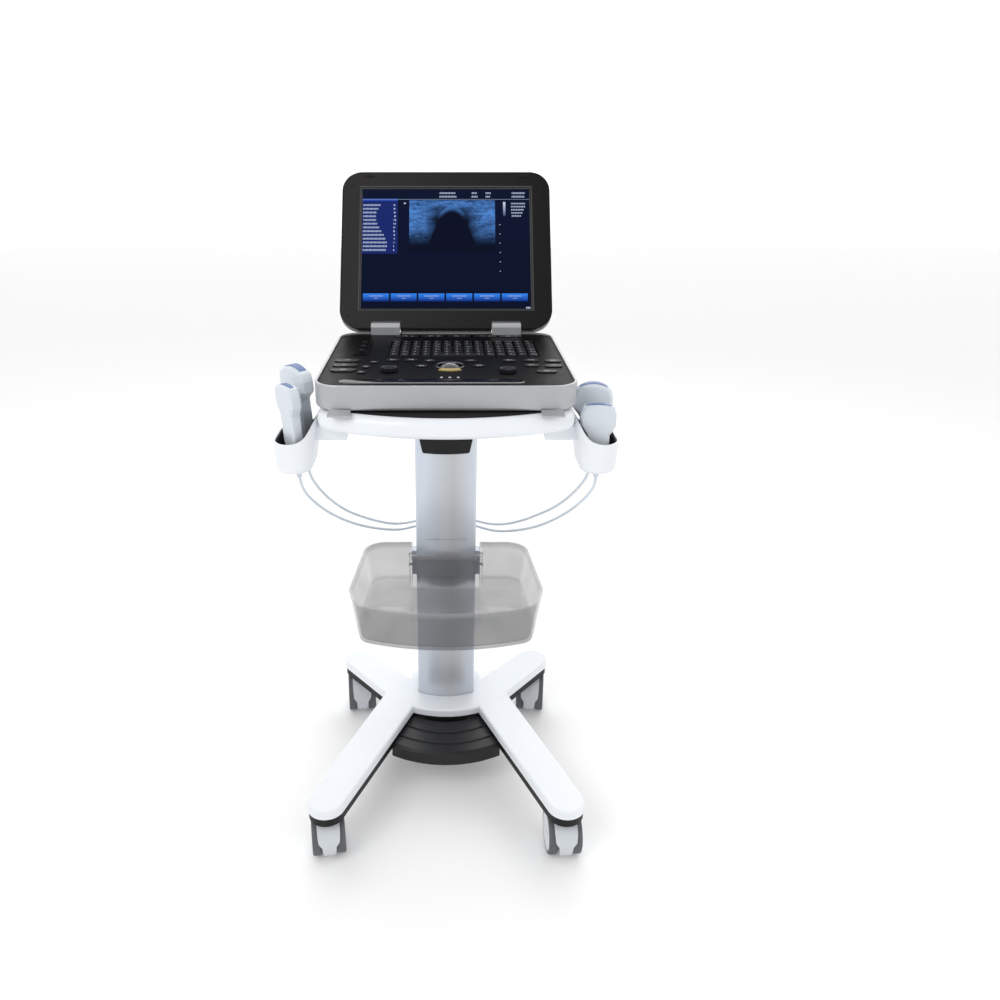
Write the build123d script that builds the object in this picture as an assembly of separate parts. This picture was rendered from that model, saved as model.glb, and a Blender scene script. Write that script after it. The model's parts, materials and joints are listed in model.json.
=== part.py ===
from build123d import *
import math
import os

# Ultrasound machine on its trolley, in millimetres, +Z up, floor at Z = 0.
# The working frame has X = 0 on the centre plane and Y = 0 midway between the front and rear castors,
# and the floor stands at FLOOR_Z in it. On saving, everything moves back by BOX_CENTRE_Y and down by
# FLOOR_Z, so that the origin is the box's bottom centre.

# ---------------------------------------------------------------- driving dimensions
BOX_CENTRE_Y = 65.98
FLOOR_Z = 13.0

# castors: twin wheels with a hooded housing between them
WHEEL_R = 37.5
AXLE_Z = FLOOR_Z + WHEEL_R
WHEEL_WIDTH = 15.5
WHEEL_INNER_X = 12.0
AXLE_R = 4.0
RUNNING = 0.05
CASTER_TOP_Z = 94.5
CASTER_TRAIL = 10.0
STEM_R = 5.5
HOOD_INNER_R = 38.6
HOOD_OUTER_R = 41.0
# swivel axis X, Y and how far the castor is turned, in degrees; the rear pair trails forwards
CASTERS = {
    "fl": (-196.0, -205.0, 10.0),
    "fr": (196.0, -205.0, 3.0),
    "rl": (-178.0, 211.0, 187.0),
    "rr": (178.0, 211.0, 173.0),
}

# base: black cast frame under a white cover
FRAME_BOTTOM = CASTER_TOP_Z
COVER_BOTTOM = 110.0
COVER_TOP = 125.0
FRONT_TIP = (196.0, -205.0)
REAR_TIP = (178.0, 211.0)
FRONT_ROOT = (81.0, 92.0)
REAR_ROOT = (84.0, 101.0)
TIP_R = 31.0
ROOT_R = 34.5
HUB_WIDTH = 136.0
HUB_FRONT_Y = 46.0
HUB_NOSE_Y = 33.0
HUB_BACK_Y = 170.0

# foot rest: a ribbed sector between the front legs, about an upright axis in the column
FOOT_AXIS_Y = 127.0
FOOT_FRONT_Y = -67.0
FOOT_BACK_Y = 24.0
FOOT_TOP = 105.0
FOOT_BOTTOM = 79.0
FOOT_HALF_ANGLE = 42.0
FOOT_RIDGES = (27.6, 58.3)

# column: aluminium extrusion with a bowed front
COLUMN_HALF = 54.0
COLUMN_FRONT_Y = 78.0
COLUMN_CORNER_Y = 92.0
COLUMN_BACK_Y = 155.0
COLUMN_TOP = 734.5
COLUMN_WALL = 3.0
GROMMET_Z = 452.0
GROMMET_R = 17.0
# screws up through the frame, or down through the table's plate, into the column's screw ports
COLUMN_SCREWS = [(-38.0, 103.0), (38.0, 103.0), (-38.0, 144.0), (38.0, 144.0)]

# table
TABLE_BOTTOM = 738.5
TABLE_TOP = 768.0
TABLE_HALF = 183.0
MAT_TOP = 769.5
TABLE_SCREWS = [(-82.0, 48.0), (82.0, 48.0), (-82.0, 160.0), (82.0, 160.0)]

# basket: clear tray, open at the top, notched around the column
RIM_Z = 434.0
TRAY_FLOOR_Z = 362.0
TRAY_WALL = 4.0
TRAY_TAPER = 8.5
NOTCH_HALF = 62.0
NOTCH_FRONT_Y = 72.0
BASKET_SCREW_Y = 110.0
BASKET_SCREW_Z = (396.0, 418.0)

# machine: silver shell with a black deck
SHELL_HALF = 185.0
SHELL_FRONT_Y = -164.0
SHELL_BACK_Y = 203.0
SHELL_BOTTOM = 771.0
SHELL_TOP = 807.0
SHELL_CORNER_R = 38.0
SHELL_WALL = 3.5
DECK_TOP = 804.5
DECK_THICK = 3.0
BOARD_Z = 793.0
EARTH_STUD_X = 130.0
EARTH_STUD_Z = 785.0
EARTH_STUD_R = 3.0

# lid, in its own frame: x across, s up the lid from the hinge axis, t towards the viewer
HINGE_Y = 197.9
HINGE_Z = 816.5
LID_LEAN = 32.8
LID_HALF = 187.0
LID_BOTTOM_S = -5.0
LID_TOP_S = 295.0
LID_FACE_T = 5.0
LID_BACK_T = -17.0
LID_TOP_CORNER = 36.0
LID_BOTTOM_CORNER = 36.0
SCREEN_BOTTOM_S = 32.0
SCREEN_W = 304.0
SCREEN_H = 232.0
BEZEL_THICK = 3.0
HINGE_BLOCK_X = (81.0, 131.0)
PIN_R = 1.9

# cups and probes
CUP_X = 219.0
CUP_Y = -98.0
CUP_BOTTOM = 669.0
CUP_TOP = 760.0
CUP_WALL = 2.5
CUP_FLOOR = 6.0
LINER_WALL = 2.0
TAIL_HOLE_R = 7.0
TAIL_END_Z = 659.0
TAIL_LENGTH = 42.0
LEAD_R = 2.2
# each probe: tail X and Y, turn about its own axis, lean of its top towards -X, both in degrees,
# length of its handle and half width of its head
PROBES = {
    "left_linear": {"tail": (-217.0, -122.0), "turn": -55.0, "lean": 4.0, "handle": 53.0, "head": 25.5},
    "left_convex": {"tail": (-211.0, -76.0), "turn": -50.0, "lean": 4.0, "handle": 64.0, "head": 33.0},
    "right_linear": {"tail": (222.0, -122.0), "turn": -11.0, "lean": 1.5, "handle": 24.0, "head": 25.5},
    "right_convex": {"tail": (219.0, -76.0), "turn": -8.0, "lean": 0.5, "handle": 37.0, "head": 29.0},
}


# ---------------------------------------------------------------- helpers
def save(name, *solids):
    """Write one node as a STEP file, in the frame whose origin is the box's bottom centre."""
    flat = []
    for item in solids:
        flat.extend(item.solids())
    shape = flat[0] if len(flat) == 1 else Compound(flat)
    export_step(Pos(0, -BOX_CENTRE_Y, -FLOOR_Z) * shape, f"parts/{name}.step")


def block(x0, x1, y0, y1, z0, z1):
    """A box between two corners."""
    box = Box(x1 - x0, y1 - y0, z1 - z0, align=(Align.MIN, Align.MIN, Align.MIN))
    return Pos(x0, y0, z0) * box


def rod(x, y, z, radius, length, direction="Z"):
    """A round bar that starts at a point and runs along an axis."""
    turn = {"Z": Rot(0, 0, 0), "X": Rot(0, 90, 0), "Y": Rot(-90, 0, 0)}[direction]
    bar = Cylinder(radius, length, align=(Align.CENTER, Align.CENTER, Align.MIN))
    return Pos(x, y, z) * turn * bar


def plate(x, y, width, depth, radius, z0, z1):
    """A flat plate with rounded corners, centred on x, y."""
    return extrude(Pos(x, y, z0) * RectangleRounded(width, depth, radius), z1 - z0)


# ---------------------------------------------------------------- base
def leg_plan(tip, root, inset):
    """One leg seen from above: two circles and their common tangents."""
    ends = (Pos(*tip) * Circle(TIP_R - inset)).edges() + (Pos(*root) * Circle(ROOT_R - inset)).edges()
    return make_hull(ends)


def base_plan(inset):
    """The four legs and the hub seen from above, drawn in by an inset."""
    plan = Pos(0, (HUB_FRONT_Y + HUB_BACK_Y) / 2) * RectangleRounded(
        HUB_WIDTH - 2 * inset, HUB_BACK_Y - HUB_FRONT_Y - 2 * inset, 18)
    for tip, root in ((FRONT_TIP, FRONT_ROOT), (REAR_TIP, REAR_ROOT)):
        for side in (-1, 1):
            plan += leg_plan((side * tip[0], tip[1]), (side * root[0], root[1]), inset)
    nose = make_face([
        ThreePointArc((-63, HUB_FRONT_Y + inset), (0, HUB_NOSE_Y + inset), (63, HUB_FRONT_Y + inset)),
        Polyline((63, HUB_FRONT_Y + inset), (63, 90), (-63, 90), (-63, HUB_FRONT_Y + inset))])
    return plan + nose


def column_plan(grow):
    """The column's section: bowed front, flat sides and back, rounded corners."""
    half = COLUMN_HALF + grow
    corner = COLUMN_CORNER_Y - grow
    back = COLUMN_BACK_Y + grow
    outline = make_face([
        ThreePointArc((-half, corner), (0, COLUMN_FRONT_Y - grow), (half, corner)),
        Polyline((half, corner), (half, back), (-half, back), (-half, corner))])
    return fillet(outline.vertices(), 8 + grow)


def base():
    frame = extrude(Pos(0, 0, FRAME_BOTTOM) * base_plan(1.5), COVER_BOTTOM - FRAME_BOTTOM)
    stems = []
    for x, y, _ in CASTERS.values():
        frame -= rod(x, y, FRAME_BOTTOM - 1, STEM_R, 13)
        stems.append(rod(x, y, CASTER_TOP_Z - 32, STEM_R, 44))
    for x, y in COLUMN_SCREWS:
        frame -= rod(x, y, FRAME_BOTTOM - 1, 3.0, 20)
        frame -= rod(x, y, FRAME_BOTTOM - 1, 5.2, 5)
    save("base_frame", frame)
    save("caster_stems", *stems)

    cover = extrude(Pos(0, 0, COVER_BOTTOM) * base_plan(0), COVER_TOP - COVER_BOTTOM)
    top_edges = cover.faces().sort_by(Axis.Z)[-1].edges()
    cover = fillet(top_edges, 4.0)
    cover -= extrude(Pos(0, 0, COVER_BOTTOM - 1) * base_plan(3), COVER_TOP - COVER_BOTTOM - 2)
    cover -= extrude(Pos(0, 0, COVER_BOTTOM - 1) * column_plan(0.4), 30)
    save("base_cover", cover)


def foot_rest():
    """A ribbed step between the front legs, a sector about an upright axis behind the column."""
    front_r = FOOT_AXIS_Y - FOOT_FRONT_Y
    back_r = FOOT_AXIS_Y - FOOT_BACK_Y
    span = 2 * FOOT_HALF_ANGLE
    profile = make_face(Polyline(
        (back_r, FOOT_TOP), (front_r - 5, FOOT_TOP), (front_r, FOOT_TOP - 4), (front_r, FOOT_BOTTOM),
        (front_r - 4, FOOT_BOTTOM), (front_r - 4, FOOT_TOP - 5), (back_r, FOOT_TOP - 5), (back_r, FOOT_TOP)))
    for step in FOOT_RIDGES:
        radius = front_r - step
        profile += make_face(Polyline(
            (radius - 4, FOOT_TOP - 1), (radius - 3, FOOT_TOP + 1.5), (radius, FOOT_TOP + 2),
            (radius + 1.5, FOOT_TOP - 1), (radius - 4, FOOT_TOP - 1)))
    sector = revolve(Plane.XZ * profile, Axis.Z, span)
    turn = Rot(0, 0, -90 - FOOT_HALF_ANGLE)
    step = Pos(0, FOOT_AXIS_Y, 0) * turn * sector
    step -= extrude(Pos(0, 0, FOOT_BOTTOM - 5) * base_plan(1.5), 50)
    tongue = block(-46, 46, 20, 70, FRAME_BOTTOM - 6, FRAME_BOTTOM)
    riser = block(-46, 46, 20, 26, FRAME_BOTTOM - 6, FOOT_TOP - 2)
    save("foot_rest", step + tongue + riser)


# ---------------------------------------------------------------- castors
def caster_housing():
    """Hood and centre web about the axle, with the swivel collar; the swivel axis is at X = Y = 0."""
    axle = (0, CASTER_TRAIL, AXLE_Z)
    body = rod(-19, axle[1], axle[2], HOOD_OUTER_R, 38, "X")
    body -= block(-30, 30, -60, 80, FLOOR_Z - 20, FLOOR_Z + 18)
    # half widths of the front of the housing at heights over the floor
    half_widths = ((9, 18), (10.5, 26), (11.6, 38), (17.3, 47), (18.5, 59), (19, 88))
    right = [(x, FLOOR_Z + z) for x, z in half_widths]
    left = [(-x, FLOOR_Z + z) for x, z in reversed(half_widths)]
    front = make_face(Polyline(*right, *left, right[0]))
    body &= Pos(0, 80, 0) * extrude(Plane.XZ * front, 160)
    for side in (-1, 1):
        start = 11.0 if side > 0 else -31.0
        body -= rod(start, axle[1], axle[2], HOOD_INNER_R, 20, "X")
    body += rod(0, 0, AXLE_Z + 16, 10.5, CASTER_TOP_Z - 0.6 - AXLE_Z - 16)
    body -= rod(0, 0, CASTER_TOP_Z - 34, STEM_R + RUNNING, 40)
    body -= rod(-30, axle[1], axle[2], AXLE_R, 60, "X")
    shaft = rod(-26.5, axle[1], axle[2], AXLE_R, 53, "X")
    return [body, shaft]


def caster_wheel(side):
    """One wheel of the pair, with a recessed hub on its outer face."""
    start = WHEEL_INNER_X if side > 0 else -WHEEL_INNER_X - WHEEL_WIDTH
    disc = rod(start, CASTER_TRAIL, AXLE_Z, WHEEL_R, WHEEL_WIDTH, "X")
    disc = fillet(disc.edges().filter_by(GeomType.CIRCLE), 3.0)
    outer = start + WHEEL_WIDTH if side > 0 else start
    recess = rod(outer - 1.2, CASTER_TRAIL, AXLE_Z, WHEEL_R - 6, 2.4, "X")
    bore = rod(start - 1, CASTER_TRAIL, AXLE_Z, AXLE_R + RUNNING, WHEEL_WIDTH + 2, "X")
    return disc - recess - bore


def casters():
    for name, (x, y, turn) in CASTERS.items():
        place = Pos(x, y, 0) * Rot(0, 0, turn)
        save(f"caster_{name}_housing", *[place * solid for solid in caster_housing()])
        save(f"caster_{name}_wheel_left", place * caster_wheel(-1))
        save(f"caster_{name}_wheel_right", place * caster_wheel(1))


# ---------------------------------------------------------------- column and what hangs on it
def column():
    tube = extrude(Pos(0, 0, COVER_BOTTOM) * column_plan(0), COLUMN_TOP - COVER_BOTTOM)
    tube -= extrude(Pos(0, 0, COVER_BOTTOM - 1) * column_plan(-COLUMN_WALL), COLUMN_TOP)
    for x, y in COLUMN_SCREWS:
        wall_y = COLUMN_BACK_Y - 1 if y > 120 else 84
        tube += rod(x, y, COVER_BOTTOM, 6.5, COLUMN_TOP - COVER_BOTTOM)
        tube += block(x - 2, x + 2, min(y, wall_y), max(y, wall_y), COVER_BOTTOM, COLUMN_TOP)
    tube &= extrude(Pos(0, 0, COVER_BOTTOM) * column_plan(0), COLUMN_TOP - COVER_BOTTOM)
    for x, y in COLUMN_SCREWS:
        tube -= rod(x, y, COVER_BOTTOM - 1, 3.0, 10)
        tube -= rod(x, y, COLUMN_TOP - 15, 3.0, 16)
    tube -= rod(0, COLUMN_BACK_Y - 10, GROMMET_Z, GROMMET_R - 3, 20, "Y")
    for side in (-1, 1):
        for z in BASKET_SCREW_Z:
            tube -= rod(side * COLUMN_HALF - 6, BASKET_SCREW_Y, z, 2.0, 12, "X")
    save("column_tube", tube)

    grommet = rod(0, COLUMN_BACK_Y - COLUMN_WALL, GROMMET_Z, GROMMET_R - 3, COLUMN_WALL, "Y")
    grommet += rod(0, COLUMN_BACK_Y, GROMMET_Z, GROMMET_R, 4, "Y")
    save("cord_grommet", grommet)

    wedge = make_face(Polyline((-46, COLUMN_TOP), (46, COLUMN_TOP), (46, 648), (41, 625), (39, 623),
                               (-39, 623), (-41, 625), (-46, 648), (-46, COLUMN_TOP)))
    insert = Pos(0, 120, 0) * extrude(Plane.XZ * wedge, 60)
    insert &= extrude(Pos(0, 0, 600) * column_plan(2.0), 160)
    insert -= extrude(Pos(0, 0, 600) * column_plan(0), 160)
    save("column_head_insert", insert)


def tray_plan(grow):
    """The basket's rim seen from above, before its notch: five soft sides."""
    outline = make_face([
        ThreePointArc((-148, -112), (0, -141), (148, -112)),
        Polyline((148, -112), (161, -60), (146, 126), (-146, 126), (-161, -60), (-148, -112))])
    outline = fillet(outline.vertices().group_by(Axis.Y)[-1], 40)
    outline = fillet([v for v in outline.vertices() if -130 < v.Y < -90], 38)
    outline = fillet([v for v in outline.vertices() if -61 < v.Y < -59], 60)
    return offset(outline, grow)


def basket():
    depth = RIM_Z - TRAY_FLOOR_Z
    outer = extrude(Pos(0, 0, RIM_Z) * tray_plan(0), -depth, taper=TRAY_TAPER)
    inner = extrude(Pos(0, 0, RIM_Z) * tray_plan(-TRAY_WALL), -(depth - TRAY_WALL), taper=TRAY_TAPER)
    keep = block(-NOTCH_HALF - TRAY_WALL, NOTCH_HALF + TRAY_WALL, NOTCH_FRONT_Y - TRAY_WALL, 200, 340, 460)
    tray = outer - (inner - keep)
    tray -= block(-NOTCH_HALF, NOTCH_HALF, NOTCH_FRONT_Y, 200, 340, 460)
    for side in (-1, 1):
        for z in BASKET_SCREW_Z:
            tray -= rod(side * (NOTCH_HALF + 2) - 8, BASKET_SCREW_Y, z, 2.0, 16, "X")
    save("basket", tray)

    brackets = []
    screws = []
    for side in (-1, 1):
        x0, x1 = sorted((side * COLUMN_HALF, side * NOTCH_HALF))
        plate_solid = block(x0, x1, 100, 120, 380, 428)
        for z in BASKET_SCREW_Z:
            plate_solid -= rod(side * 58 - 10, BASKET_SCREW_Y, z, 2.0, 20, "X")
            shank_end = NOTCH_HALF + TRAY_WALL
            start = side * 48 if side > 0 else -shank_end
            shank = rod(start, BASKET_SCREW_Y, z, 2.0, shank_end - 48, "X")
            head_start = shank_end if side > 0 else -shank_end - 2.5
            screws.append(shank + rod(head_start, BASKET_SCREW_Y, z, 4.0, 2.5, "X"))
        brackets.append(plate_solid)
    save("basket_brackets", *brackets)
    save("basket_screws", *screws)


# ---------------------------------------------------------------- table
def table_plan(inset):
    outline = make_face([
        ThreePointArc((-TABLE_HALF, -150), (0, -199), (TABLE_HALF, -150)),
        Polyline((TABLE_HALF, -150), (TABLE_HALF, 172), (-TABLE_HALF, 172), (-TABLE_HALF, -150))])
    outline = fillet(outline.vertices().group_by(Axis.Y)[0], 26)
    outline = fillet(outline.vertices().group_by(Axis.Y)[-1], 40)
    return offset(outline, -inset)


def table():
    top = extrude(Pos(0, 0, TABLE_BOTTOM) * table_plan(0), TABLE_TOP - TABLE_BOTTOM)
    rim = [edge for edge in top.edges() if abs(edge.start_point().Z - edge.end_point().Z) < 0.1]
    top = fillet(rim, 12.0)
    top -= block(-70, 70, 50, 160, TABLE_BOTTOM - 1, TABLE_BOTTOM + 9)
    for x, y in TABLE_SCREWS:
        top -= rod(x, y, TABLE_BOTTOM - 1, 3.0, 15)
    save("table_top", top)
    save("table_mat", extrude(Pos(0, 0, TABLE_TOP) * table_plan(13), MAT_TOP - TABLE_TOP))

    bracket = block(-92, 92, 36, 172, COLUMN_TOP, TABLE_BOTTOM)
    bracket = fillet(bracket.edges().filter_by(Axis.Z), 12)
    for x, y in COLUMN_SCREWS:
        bracket -= rod(x, y, COLUMN_TOP - 1, 3.0, 10)
    for x, y in TABLE_SCREWS:
        bracket -= rod(x, y, COLUMN_TOP - 1, 3.0, 10)
    save("table_bracket", bracket)


def trolley_screws():
    """Twelve alike: up into the column's foot, down into its head, and up into the table."""
    screws = []
    for x, y in COLUMN_SCREWS:
        screws.append(screw(x, y, FRAME_BOTTOM + 4, 1))
        screws.append(screw(x, y, TABLE_BOTTOM, -1))
    for x, y in TABLE_SCREWS:
        screws.append(screw(x, y, COLUMN_TOP, 1))
    save("trolley_screws", *screws)


def screw(x, y, seat, up):
    """A cap screw whose head sits against the seat height, its shank going up (1) or down (-1)."""
    shank = rod(x, y, seat if up > 0 else seat - 18, 3.0, 18)
    head = rod(x, y, seat - 4 if up > 0 else seat, 5.0, 4)
    return shank + head


# ---------------------------------------------------------------- cups, probes and leads
def cup_body(inset, floor):
    """A tapering cup, rounder and narrower below, drawn in by an inset and cut off at a floor."""
    top = Pos(CUP_X, CUP_Y, CUP_TOP) * RectangleRounded(70 - 2 * inset, 112 - 2 * inset, 34 - inset)
    foot = Pos(CUP_X + 4, CUP_Y, floor) * RectangleRounded(52 - 2 * inset, 96 - 2 * inset, 25 - inset)
    return loft([foot, top])


def rim_cutter(drop):
    """What lies above the rim, which climbs from the outer side to the table."""
    curve = Spline((CUP_X + 60, 717 - drop), (CUP_X + 36, 717 - drop), (CUP_X + 4, 717 - drop),
                   (CUP_X - 13, 723 - drop), (CUP_X - 25, 739 - drop), (CUP_X - 42, 760 - drop))
    face = make_face([curve, Polyline(curve @ 1, (CUP_X - 42, 800), (CUP_X + 60, 800), curve @ 0)])
    return Pos(0, 40, 0) * extrude(Plane.XZ * face, 240)


def cups():
    """A white cup with its arm at each end of the table, and the black rubber liner inside it."""
    outer = cup_body(0, CUP_BOTTOM)
    outer = fillet(outer.faces().sort_by(Axis.Z)[0].edges(), 8)
    hollow = cup_body(CUP_WALL, CUP_BOTTOM + CUP_FLOOR)
    arm = Plane.YZ.offset(146) * Pos(CUP_Y, TABLE_BOTTOM - 13) * RectangleRounded(40, 26, 6)
    arm = extrude(arm, 48) - cup_body(0.5, CUP_BOTTOM)
    cup = outer + arm - hollow - (rim_cutter(0) & block(184, 300, -200, 0, 600, 900))
    liner = cup_body(CUP_WALL + 0.3, CUP_BOTTOM + CUP_FLOOR)
    liner -= cup_body(CUP_WALL + LINER_WALL + 0.3, CUP_BOTTOM + CUP_FLOOR + 3)
    liner -= rim_cutter(1.5)
    liners = []
    for side in ("left", "right"):
        shells = [cup, liner] if side == "right" else [mirror(s, about=Plane.YZ) for s in (cup, liner)]
        for name, probe in PROBES.items():
            if name.startswith(side):
                hole = rod(*probe["tail"], CUP_BOTTOM - 20, TAIL_HOLE_R, 40)
                shells = [shell - hole for shell in shells]
        save(f"cup_{side}", shells[0])
        liners.append(shells[1])
    save("cup_liners", *liners)


def probe_place(probe):
    """Where a probe stands: its tail's end on the cup's axis, turned and leaning."""
    return Pos(*probe["tail"], TAIL_END_Z) * Rot(0, -probe["lean"], 0) * Rot(0, 0, probe["turn"])


def probe_outline(kind, probe):
    """Half of a probe's front outline as (half width, height) points, from the tail up."""
    grip = 17.0 if kind == "linear" else 18.0
    shoulder = TAIL_LENGTH + probe["handle"]
    head = probe["head"]
    return [(grip - 8, TAIL_LENGTH), (grip - 2, TAIL_LENGTH + 5), (grip, TAIL_LENGTH + 12), (grip, shoulder),
            (grip + 3, shoulder + 5), (head, shoulder + 14), (head, shoulder + 30), (head - 4, shoulder + 42)]


def probe_crown(half, height, rise):
    """The top of a probe's head: what lies between its flat top line and an arc over it."""
    return make_face([
        ThreePointArc((-half, height), (0, height + rise), (half, height)),
        Polyline((half, height), (-half, height))])


def probe_solids(kind, probe):
    """A hand-held probe, tail down: body with its strain relief, and the lens, a band along its crown."""
    half = probe_outline(kind, probe)
    top_half, top_z = half[-1]
    thickness = 19.0 if kind == "linear" else 21.0
    rise = 2.5 if kind == "linear" else 8.5
    outline = half + [(-x, z) for x, z in reversed(half)]
    front = make_face(Polyline(*outline, outline[0])) + probe_crown(top_half, top_z, rise)
    body = Pos(0, thickness / 2, 0) * extrude(Plane.XZ * front, thickness)
    body = chamfer(body.faces().sort_by(Axis.Y)[0].edges() + body.faces().sort_by(Axis.Y)[-1].edges(), 3.5)
    body += Cone(4.0, 6.0, TAIL_LENGTH + 2, align=(Align.CENTER, Align.CENTER, Align.MIN))
    depth = 7.0 if kind == "linear" else 12.0
    lens = extrude(Plane.XZ * probe_crown(top_half - 1, top_z, rise + 1.2), depth)
    return body, Pos(0, depth / 2, 0) * lens - body


def probes():
    for name, probe in PROBES.items():
        kind = name.split("_")[1]
        body, lens = probe_solids(kind, probe)
        save(f"probe_{name}", probe_place(probe) * body)
        save(f"lens_{name}", probe_place(probe) * lens)


# each lead's route, from its probe's tail to the grommet in the column's back
LEADS = {
    "left_linear": [
        (-217, -122, 659), (-216.1, -122, 646), (-210, -112, 625), (-196, -81, 592), (-178, -38, 557),
        (-156, 8, 524), (-133, 52, 497), (-111, 92, 475), (-90, 126, 458), (-74, 151, 449.5), (-58, 170, 446),
        (-39, 181, 445), (-19, 181.5, 446), (-9, 171.5, 447), (-9, 159, 447)],
    "left_convex": [
        (-211, -76, 659), (-210.1, -76, 646), (-204.5, -68.5, 628), (-195, -52, 604), (-181, -27, 576),
        (-164, 6, 547), (-143, 46, 519), (-120, 86, 493), (-97, 120, 473), (-78, 147, 462), (-60, 168, 457),
        (-40, 180, 455.5), (-19, 181.5, 456), (-9, 171.5, 457), (-9, 159, 457)],
    "right_linear": [
        (222, -122, 659), (222.34, -122, 646), (214, -113, 625), (198, -88, 593), (179, -51, 560),
        (156, -6, 526), (133, 40, 498), (111, 84, 475), (90, 121, 458), (74, 149, 449.5), (58, 170, 446),
        (39, 181, 445), (19, 181.5, 446), (9, 171.5, 447), (9, 159, 447)],
    "right_convex": [
        (219, -76, 659), (219.11, -76, 646), (212, -68, 626), (197, -46, 595), (179, -16, 564),
        (156, 22, 534), (134, 61, 506), (112, 98, 483), (92, 128, 468), (76, 151, 460), (60, 168, 457),
        (40, 180, 455.5), (19, 181.5, 456), (9, 171.5, 457), (9, 159, 457)],
}


def lead_tube(points):
    """A tube of straight runs and the largest tangent arcs; returns it with its length and radii."""
    points = [Vector(*point) for point in points]
    runs = [b - a for a, b in zip(points, points[1:])]
    radii = []
    for before, after in zip(runs, runs[1:]):
        half_turn = math.radians(before.get_angle(after)) / 2
        radii.append(0.45 * min(before.length, after.length) / math.tan(half_turn))
    path = FilletPolyline(*points, radius=radii)
    section = Plane(origin=path @ 0, z_dir=path % 0) * Circle(LEAD_R)
    return sweep(section, path=path), path.length, radii


def leads():
    for name, points in LEADS.items():
        tube, length, radii = lead_tube(points)
        ratio = tube.volume / (math.pi * LEAD_R ** 2 * length)
        print(f"lead_{name}: length {length:.0f}, volume ratio {ratio:.3f},",
              "radii", " ".join(f"{radius:.0f}" for radius in radii))
        save(f"lead_{name}", tube)


# ---------------------------------------------------------------- machine: shell, deck and controls
BUTTON_TOP = 806.3
BUTTON_FOOT = 800.5
BUTTON_GAP = 0.5
# centre X, Y, width, depth and corner radius of each push button on the deck
PANEL_BUTTONS = (
    [(-152, y, 38, 19, 9.4) for y in (-6, -36, -66)]
    + [(-110, -18, 13, 13, 6.4), (-120, -47, 13, 13, 6.4), (-124, -80, 13, 13, 6.4)]
    + [(131, -5, 22, 15, 6), (129, -37, 22, 15, 6), (164, -8, 26, 15, 7), (162, -40, 26, 15, 7),
       (148, -74, 30, 15, 7)]
    + [(-82, -3, 20, 13, 5), (-54, -3, 20, 13, 5), (-25, -8, 18, 13, 5), (-37, -42, 18, 13, 5),
       (38, -8, 18, 13, 5), (50, -40, 18, 13, 5), (98, -6, 22, 13, 5)])
KNOBS = {"left": (-84.0, -68.0), "right": (91.0, -74.0)}
KNOB_R = 13.0
BALL = (6.0, -38.0)
BALL_R = 19.0
BALL_TOP = 810.5
KEYS_X = (-91.0, 147.0)
KEYS_Y = (26.0, 137.0)
KEY_COLUMNS = 14
KEY_ROWS = 6
FUNCTION_KEYS_X = (-67.5, -22.5, 22.5, 67.5, 112.5)
FUNCTION_KEYS_Y = 178.0
SLIDER_YS = (50.0, 80.0, 110.0)
SLIDER_X = -135.0


def enter_key_plan(grow):
    """A crescent in front of the trackball."""
    ring = Circle(31 + grow) - Circle(21.5 - grow)
    wedge = make_face(Polyline((0, 0), (-26 - 3 * grow, -40), (26 + 3 * grow, -40), (0, 0)))
    return Pos(*BALL) * (ring & wedge)


def shell():
    """The silver housing: walls, floor and four posts that carry the deck."""
    middle = (SHELL_FRONT_Y + SHELL_BACK_Y) / 2
    depth = SHELL_BACK_Y - SHELL_FRONT_Y
    body = plate(0, middle, 2 * SHELL_HALF, depth, SHELL_CORNER_R, SHELL_BOTTOM, SHELL_TOP)
    rims = [e for e in body.edges() if abs(e.start_point().Z - e.end_point().Z) < 0.1]
    body = fillet([e for e in rims if e.center().Z > SHELL_TOP - 1], 1.5)
    body = fillet([e for e in body.edges() if e.bounding_box().max.Z < SHELL_BOTTOM + 0.1], 5.0)
    wall = SHELL_WALL
    body -= plate(0, middle, 2 * (SHELL_HALF - wall), depth - 2 * wall, SHELL_CORNER_R - wall,
                  SHELL_BOTTOM + 3, SHELL_TOP + 1)
    body -= plate(0, middle, 300, 300, 12, SHELL_BOTTOM - 1, SHELL_BOTTOM + 4)
    for x in (-168, 168):
        for y in (SHELL_FRONT_Y + 24, SHELL_BACK_Y - 24):
            body += rod(x, y, SHELL_BOTTOM, 6, DECK_TOP - DECK_THICK - SHELL_BOTTOM)
    stud = rod(EARTH_STUD_X, SHELL_BACK_Y - 1, EARTH_STUD_Z, EARTH_STUD_R, 11, "Y")
    save("machine_shell", body + stud)
    cover = plate(0, middle, 340, depth - 30, 28, MAT_TOP, SHELL_BOTTOM)
    for x in (-142, 142):
        for y in (8, 160):
            cover += rod(x, y, SHELL_BOTTOM, 4, BOARD_Z - SHELL_BOTTOM)
    save("bottom_cover", cover)

    rests = []
    for x in (-147.5, 147.5):
        side_view = make_face(Polyline((-182, TABLE_TOP), (-166, TABLE_TOP), (-166, TABLE_TOP + 6),
                                       (-182, TABLE_TOP + 2), (-182, TABLE_TOP)))
        rests.append(Pos(x - 15.5, 0, 0) * extrude(Plane.YZ * side_view, 31))
    save("machine_rests", *rests)


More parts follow.
